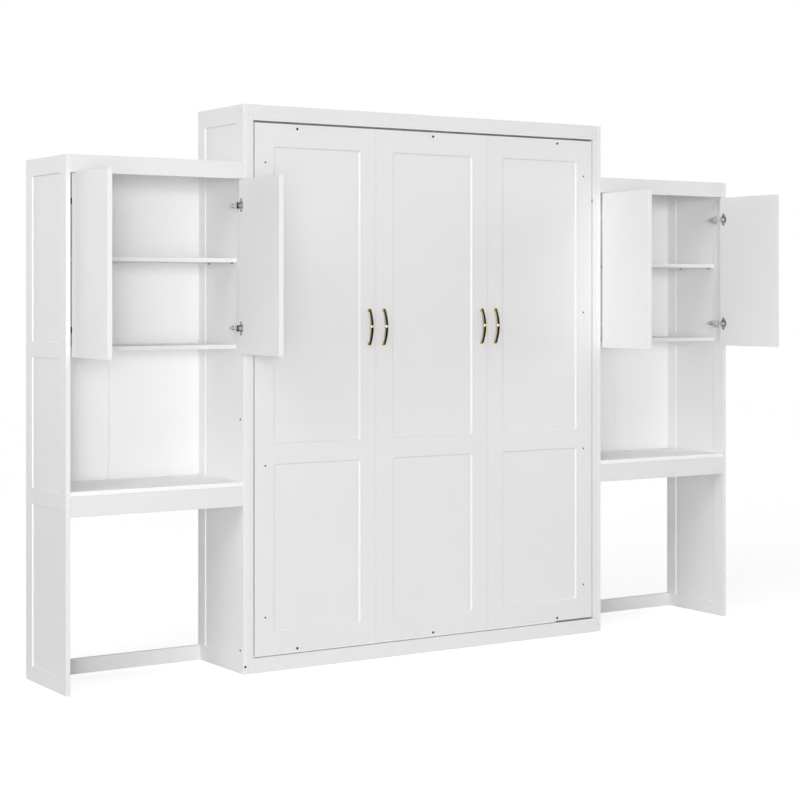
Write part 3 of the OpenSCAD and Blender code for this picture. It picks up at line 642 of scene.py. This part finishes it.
def on_arms(doors, at, turn=0.0, rises=(0.0,)):
    """Spots that stay with the hinge arms of these doors."""
    aside, back = at
    return [spot(wall + hand * aside, FRONT_Y + back, z + rise, hand * turn)
            for wall, hand, _ in (DOORS[door] for door in doors)
            for z in HINGE_Z for rise in rises]


def on_door(door, at, turn=0.0, rises=(0.0,)):
    """Spots that have swung out with an open door, given as they lie with the door shut."""
    aside, back = at
    wall, hand, opened = DOORS[door]
    cos, sin = math.cos(opened), math.sin(opened)
    out = back + AXIS_OUT
    x, y = aside * cos + out * sin, out * cos - aside * sin - AXIS_OUT
    return [spot(wall + hand * x, FRONT_Y + y, z + rise, turn - opened * hand)
            for z in HINGE_Z for rise in rises]


# ---- Studio ----

def set_camera(scene):
    """A level camera, so that upright edges stay upright; the shift of its lens frames the row."""
    s = studio()
    data = bpy.data.cameras.new("camera")
    data.lens = s.lens
    data.sensor_width = 36.0
    data.shift_x = s.aside
    data.shift_y = s.below
    data.clip_end = 100.0
    camera = bpy.data.objects.new("camera", data)
    camera.location = s.eye
    camera.rotation_euler = (RIGHT_ANGLE, 0.0, -s.turn)
    scene.collection.objects.link(camera)
    scene.camera = camera


def set_world(scene):
    """Even room light; the camera, mirrors and glass see it as plain white."""
    world = bpy.data.worlds.new("room")
    scene.world = world
    world.use_nodes = True
    tree = world.node_tree
    tree.nodes.clear()
    path = node(tree, "LightPath")
    mirrored = node(tree, "Math", {"operation": "MAXIMUM"}, {
        0: path.outputs["Is Glossy Ray"], 1: path.outputs["Is Transmission Ray"]})
    seen = node(tree, "Math", {"operation": "MAXIMUM"}, {
        0: path.outputs["Is Camera Ray"], 1: mirrored.outputs[0]})
    strength = node(tree, "Mix", {"data_type": "FLOAT"}, {
        0: seen.outputs[0], 2: studio().world, 3: 1.0})
    back = node(tree, "Background", inputs={
        "Color": linear("#FFFFFF"), "Strength": strength.outputs[0]})
    node(tree, "OutputWorld", inputs={"Surface": back.outputs[0]})


def floor():
    """Plain pale floor. The camera sees it lifted to white, and a little darker in the shadows."""
    bm = bmesh.new()
    bmesh.ops.create_grid(bm, x_segments=1, y_segments=1, size=14.0)
    # Half a millimetre down, so that it doesn't flicker against the undersides
    bmesh.ops.translate(bm, verts=bm.verts, vec=(0.0, 0.0, -0.0005))
    mesh = bpy.data.meshes.new("floor")
    bm.to_mesh(mesh)
    bm.free()
    obj = bpy.data.objects.new("floor", mesh)
    bpy.context.scene.collection.objects.link(obj)
    made, tree, _ = material("pale_floor")
    shader = node(tree, "BsdfPrincipled", inputs={
        "Base Color": linear(studio().floor), "Roughness": 0.9, "Specular IOR Level": 0.2})
    matt = node(tree, "BsdfDiffuse", inputs={"Color": (0.42, 0.42, 0.42, 1.0)})
    lift = node(tree, "Emission", inputs={"Color": linear("#FFFFFF"), "Strength": 0.78})
    seen = node(tree, "AddShader", inputs={0: matt.outputs[0], 1: lift.outputs[0]})
    path = node(tree, "LightPath")
    mixed = node(tree, "MixShader", inputs={
        0: path.outputs["Is Camera Ray"], 1: shader.outputs[0], 2: seen.outputs[0]})
    node(tree, "OutputMaterial", inputs={"Surface": mixed.outputs[0]})
    wear(obj, made)


def lamps():
    """Soft lamps. A low one and a broad one stand on the camera's side, so that light reaches into
    the cupboards; the others stand on the left, overhead, on the right and behind."""
    for name, across, above, spread, power in LAMPS:
        data = bpy.data.lights.new(name, "SUN")
        data.energy = power
        data.angle = math.radians(spread)
        across, above = math.radians(across), math.radians(above)
        towards = Vector((math.sin(across) * math.cos(above),
                          -math.cos(across) * math.cos(above), math.sin(above)))
        hang(name, data, towards * LAMP_AWAY, towards)
    broad = bpy.data.lights.new("broad", "AREA")
    broad.energy = studio().broad
    broad.size = 2.5
    hang("broad", broad, BROAD_AT, BROAD_AT - BROAD_AIM)


def hang(name, data, place, towards):
    """Puts a lamp in its place, with its back to the given direction."""
    lamp = bpy.data.objects.new(name, data)
    lamp.location = place
    lamp.rotation_euler = (-towards).to_track_quat("-Z", "Y").to_euler()
    bpy.context.scene.collection.objects.link(lamp)


# ---- Operators ----

class WALLBED_OT_boards(bpy.types.Operator):
    """Lacquers the cabinet and side unit boards and eases their edges"""
    bl_idname = "wallbed.boards"
    bl_label = "Boards"

    def execute(self, context):
        s = boards()
        # Painted light: the fronts are painted a little darker than the carcasses because they face
        # the lamps
        front = satin_lacquer("satin_lacquer_on_fronts_painted_darker", s.front, s.sheen)
        carcass = satin_lacquer("satin_lacquer_on_mdf", s.carcass, s.sheen)
        for name in BOARDS + LEAVES + tuple("door_" + d for d in DOORS):
            wear(cad(name), front if name in LEAVES + FRONTS else carcass)
            ease_edges(cad(name), s.ease)
        # The thin sheets soak up more of the lacquer, so they are duller; they are also painted
        # lighter than the carcasses, painted light for the shade inside the cupboards and niches
        wear(cad("back_sheets"), satin_lacquer("satin_lacquer_on_hardboard", s.sheet, s.sheen + 0.05))
        # The desktops' laminate has the same satin as the lacquer; it is painted whiter, painted
        # light for the light from above that they lack
        desktop = satin_lacquer("desktop_laminate_painted_whiter", s.desktop, s.sheen)
        for name in ("desktop_left", "desktop_right"):
            wear(cad(name), desktop)
        # The caps are moulded, a little greyer and glossier than the boards that they sit on
        wear(cad("joint_caps"), satin_lacquer("white_plastic_caps", "#DCDCDA", 0.4))
        ease_edges(cad("joint_caps"), 0.0004)
        return {"FINISHED"}


class WALLBED_OT_bed_frame(bpy.types.Operator):
    """Finishes the birch frame and slats behind the bed's front"""
    bl_idname = "wallbed.bed_frame"
    bl_label = "Bed frame"

    def execute(self, context):
        across = birch("birch_along_the_width", "X")
        upright = birch("birch_along_the_height", "Z")
        for timber, names in ((across, ("bed_foot_rail", "bed_head_rail", "slats")),
                              (upright, ("bed_rail_left", "bed_rail_right", "slat_bearers"))):
            for name in names:
                wear(cad(name), timber)
                ease_edges(cad(name), 0.002)
        return {"FINISHED"}


class WALLBED_OT_mechanism(bpy.types.Operator):
    """Finishes the pivots, legs, gas struts and shelf pins"""
    bl_idname = "wallbed.mechanism"
    bl_label = "Mechanism"

    def execute(self, context):
        # Zinc plate: a cool grey with a soft shine
        zinc = plated_steel("zinc_plated_steel", fittings().zinc, 0.38, 1500.0)
        for name in ("cabinet_brackets", "rail_fittings", "shelf_pins", "leg_left", "leg_right",
                     "strut_rod_left", "strut_rod_right"):
            wear(cad(name), zinc)
        # Moulded nylon: black and dull
        nylon = black_finish("moulded_black_nylon", "#1C1C1C", 0.55, 0.0)
        for name in ("pivot_bushes", "leg_glide_left", "leg_glide_right"):
            wear(cad(name), nylon)
        # Black oxide: a brownish black that still shines a little like steel
        oxide = black_finish("black_oxide_steel", "#2B2724", 0.4, 0.6)
        for name in ("strut_tube_left", "strut_tube_right"):
            wear(cad(name), oxide)
        return {"FINISHED"}


class WALLBED_OT_hinges(bpy.types.Operator):
    """Finishes the concealed hinges of the cupboard doors, and adds black blocks and slots of painted
    shade on them, and their screws
    """
    bl_idname = "wallbed.hinges"
    bl_label = "Hinges"

    def execute(self, context):
        # Satin nickel: warm and pale; the cups are painted darker than arms and links, painted shade
        # for the shadow in their hollows, and reflect more sharply
        nickel = fittings().nickel
        plate = plated_steel("satin_nickel_plate", nickel, 0.5, 1800.0)
        cup_nickel_painted_darker = plated_steel("satin_nickel_cups_painted_darker", shade(nickel, 0.87), 0.42, 1800.0)
        for name in (["hinge_arms"] + ["hinge_cups_" + d for d in DOORS]
                     + ["hinge_links_" + d for d in DOORS]):
            wear(cad(name), cup_nickel_painted_darker if "cups" in name else plate)
            ease_edges(cad(name), 0.0004)
        painted_shade_black = black_finish("black_painted_shade_blocks", "#0E0E0E", 0.5, 0.0)
        # Black oxide for the screws; the same black on the slots is painted shade
        oxide = black_finish("black_oxide_screws_and_painted_shade_slots", "#2B2926", 0.4, 0.6)
        # In the left unit, a black block on the tip of each arm, behind the gap that the open door
        # leaves: painted shade for the shadow in that gap
        finished(copies(eased_block(TIP_SHADE_BLOCK, SHADE_BLOCK_EASE), on_arms(SHADE_BLOCKED_DOORS, TIP_SHADE_BLOCK_AT)),
                 "hinge_tip_shade_blocks", painted_shade_black, "cabinet", "black_nylon")
        # There too, a black block on each link, where it bends round the door's corner: painted shade
        # for the shadow at that corner
        for door in SHADE_BLOCKED_DOORS:
            finished(copies(eased_block(LINK_SHADE_BLOCK, SHADE_BLOCK_EASE), on_door(door, LINK_SHADE_BLOCK_AT)),
                     "hinge_shade_blocks_" + door, painted_shade_black, "links_" + door, "black_nylon")
        # Two screws through each cup's flange, over and under the cup, facing into the cupboard
        for door in DOORS:
            screws = on_door(door, CUP_SCREW_AT, math.pi, CUP_SCREW_RISES)
            finished(copies(socket_head(*CUP_SCREW), screws),
                     "cup_screws_" + door, oxide, "door_" + door, "black_steel")
        # Two adjusting slots on each arm's face, drawn as thin black plates: painted shade for the
        # shadow in the slots; and a screw behind them
        slots = on_arms(DOORS, ARM_SLOT_AT, RIGHT_ANGLE, ARM_SLOT_RISES)
        finished(copies(long_slot(ARM_SLOT), slots), "hinge_slots", oxide, "cabinet", "black_steel")
        screws = on_arms(DOORS, ARM_SCREW_AT, RIGHT_ANGLE)
        finished(copies(socket_head(*ARM_SCREW), screws),
                 "hinge_screws", oxide, "cabinet", "black_steel")
        return {"FINISHED"}


class WALLBED_OT_handles(bpy.types.Operator):
    """Makes the four bow handles beside the seams"""
    bl_idname = "wallbed.handles"
    bl_label = "Handles"

    def execute(self, context):
        s = bows()
        at = [spot(side * s.seam + way * s.beside, FRONT_Y, s.height)
              for side in (-1, 1) for way in (-1, 1)]
        finished(copies(bow_handle(), at),
                 "bow_handles", antique_gold(), "bed", "antique_gold", "handles")
        return {"FINISHED"}


class WALLBED_OT_bolts(bpy.types.Operator):
    """Makes the bolts of the bed's front and the cabinet, and the stops beside the leaves"""
    bl_idname = "wallbed.bolts"
    bl_label = "Bolts and stops"

    def execute(self, context):
        oxide = black_finish("black_oxide_bolts", "#2B2724", 0.4, 0.6)
        bolts = copies(socket_head(*ROW_BOLT), [spot(x, FRONT_Y, z) for x, z in ROW_BOLTS])
        join(bolts, copies(socket_head(*COLUMN_BOLT),
                           [spot(x, FRONT_Y, z) for x, z in COLUMN_BOLTS]))
        finished(bolts, "socket_bolts", oxide, "bed", "black_steel", "front_bolts")
        # Two bolts in each side of the cabinet, and one at its front's lower left corner
        at = [spot(side * CABINET_X, y, z, side * RIGHT_ANGLE)
              for side in (-1, 1) for y, z in SIDE_BOLTS]
        at.append(spot(FRONT_CORNER[0], FRONT_Y, FRONT_CORNER[1]))
        finished(copies(socket_head(*CORNER_BOLT), at),
                 "corner_bolts", oxide, "cabinet", "black_steel", "joint_bolts")
        # Nylon stops on the front stiles, in the gaps beside the leaves
        aside, back, z = STOP_AT
        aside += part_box("leaf_right")[1][0]
        at = [spot(side * aside, FRONT_Y + back, z) for side in (-1, 1)]
        nylon = black_finish("nylon_stops", "#141414", 0.55, 0.0)
        finished(copies(eased_block(FRONT_STOP, STOP_EASE), at),
                 "front_stops", nylon, "cabinet", "black_nylon")
        return {"FINISHED"}


class WALLBED_OT_studio(bpy.types.Operator):
    """Sets up the floor, the lights and the camera"""
    bl_idname = "wallbed.studio"
    bl_label = "Studio"

    def execute(self, context):
        scene = context.scene
        scene.view_settings.view_transform = "Standard"
        # The cupboards' backs are lit by way of their white walls, which takes many bounces
        scene.cycles.diffuse_bounces = 8
        scene.cycles.max_bounces = 16
        set_camera(scene)
        set_world(scene)
        floor()
        lamps()
        return {"FINISHED"}


class WALLBED_PT_panel(bpy.types.Panel):
    """Lists the steps that finish the wall bed"""
    bl_idname = "WALLBED_PT_panel"
    bl_label = "Wall bed"
    bl_space_type = "VIEW_3D"
    bl_region_type = "UI"
    bl_category = "Wall bed"

    def draw(self, context):
        for step in STEPS:
            self.layout.operator(step.bl_idname)


STEPS = (WALLBED_OT_boards, WALLBED_OT_bed_frame, WALLBED_OT_mechanism, WALLBED_OT_hinges,
         WALLBED_OT_handles, WALLBED_OT_bolts, WALLBED_OT_studio)


def register():
    for kind in SETTINGS + STEPS + (WALLBED_PT_panel,):
        bpy.utils.register_class(kind)
    bpy.types.Scene.wallbed_boards = bpy.props.PointerProperty(type=BoardSettings)
    bpy.types.Scene.wallbed_fittings = bpy.props.PointerProperty(type=FittingSettings)
    bpy.types.Scene.wallbed_handles = bpy.props.PointerProperty(type=HandleSettings)
    bpy.types.Scene.wallbed_studio = bpy.props.PointerProperty(type=StudioSettings)


def unregister():
    del bpy.types.Scene.wallbed_studio
    del bpy.types.Scene.wallbed_handles
    del bpy.types.Scene.wallbed_fittings
    del bpy.types.Scene.wallbed_boards
    for kind in (WALLBED_PT_panel,) + tuple(reversed(STEPS)) + tuple(reversed(SETTINGS)):
        bpy.utils.unregister_class(kind)


def main():
    register()
    bpy.ops.wallbed.boards()
    bpy.ops.wallbed.bed_frame()
    bpy.ops.wallbed.mechanism()
    bpy.ops.wallbed.hinges()
    bpy.ops.wallbed.handles()
    bpy.ops.wallbed.bolts()
    bpy.ops.wallbed.studio()


if __name__ == "__main__":
    main()
